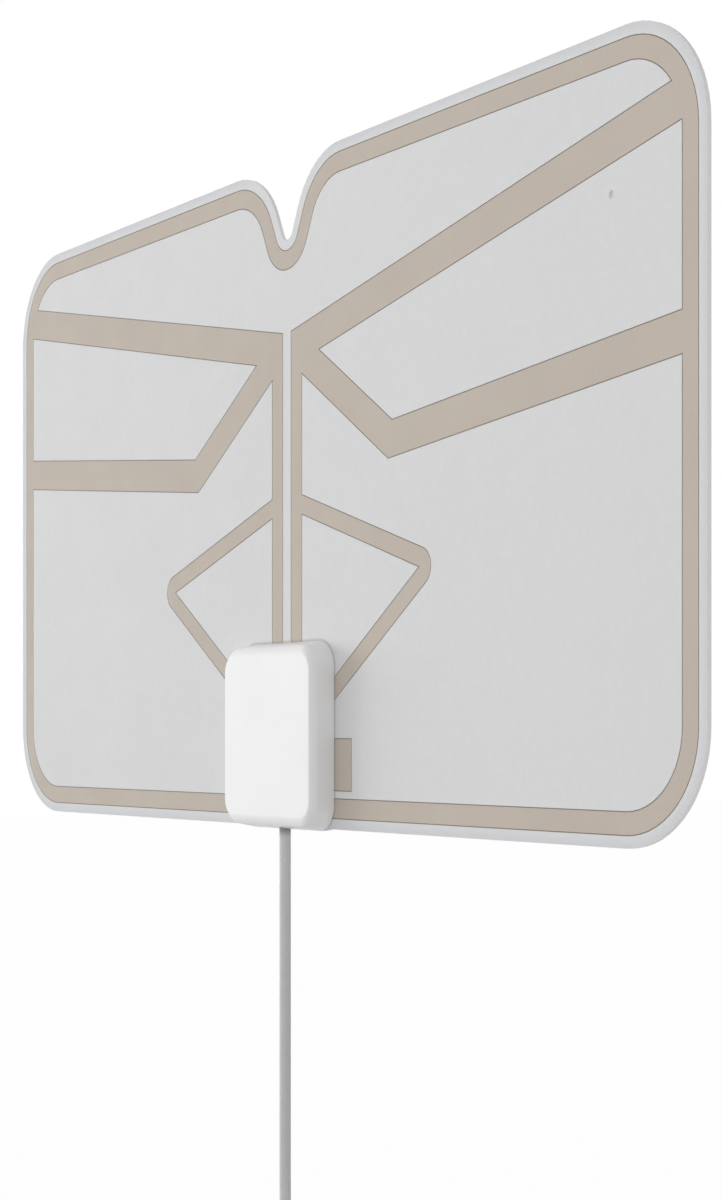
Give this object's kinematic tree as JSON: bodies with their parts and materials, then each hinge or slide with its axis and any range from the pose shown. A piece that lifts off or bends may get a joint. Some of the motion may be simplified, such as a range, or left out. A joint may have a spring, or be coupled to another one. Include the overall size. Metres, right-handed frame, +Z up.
{
  "type": "indoor tv antenna",
  "caption": "Flat rounded-rectangle panel with a notched top edge, a foil pattern, a shallow white housing at its lower edge and a coaxial lead with a screw-on plug.",
  "frame": {"origin": "on the centre line, level with the pin mark, on the panel's rear face", "axes": "+X to the right along the panel as seen from its front, +Z up, -Y out of the front face into the room"},
  "size_m": [0.433, 0.0233, 0.5285],
  "materials": {
    "film": "satin pale grey film",
    "foil": "matte tan-grey foil",
    "case": "satin white moulding",
    "screw": "zinc plated",
    "board": "green solder resist",
    "contact": "spring brass",
    "ferrite": "matte dark grey ferrite",
    "copper": "bare copper",
    "chip": "fired ceramic",
    "tin": "tinned",
    "braid": "woven, dull",
    "insulation": "translucent white",
    "jacket": "satin grey jacket",
    "strap": "white nylon",
    "boot": "matte dark grey",
    "plate": "nickel plated"
  },
  "bodies": {
    "antenna": {"back_film": "film", "front_film": "film", "foil_element": "foil", "left_pad": "foil", "right_pad": "foil", "front_housing": "case", "back_housing": "case", "screw_upper_left": "screw", "screw_upper_right": "screw", "screw_lower_left": "screw", "screw_lower_right": "screw", "circuit_board": "board", "left_contact": "contact", "right_contact": "contact", "balun_core": "ferrite", "balun_winding": "copper", "left_capacitor": "chip", "right_capacitor": "chip", "cable_collar": "jacket", "ground_clip": "tin", "coax_braid": "braid", "coax_dielectric": "insulation", "coax_conductor": "copper", "coax_lead": "jacket", "coax_coil": "jacket", "coax_tail": "jacket", "cable_tie": "strap", "connector_boot": "boot", "connector_body": "plate", "connector_insulator": "insulation", "connector_pin": "contact"},
    "connector_nut": {"connector_nut": "plate"}
  },
  "joints": [
    {"name": "nut_spin", "type": "hinge", "parent": "antenna", "child": "connector_nut", "pos_m": [-0.03, -0.014, -0.476], "axis": [0, 0, 1], "continuous": true}
  ]
}
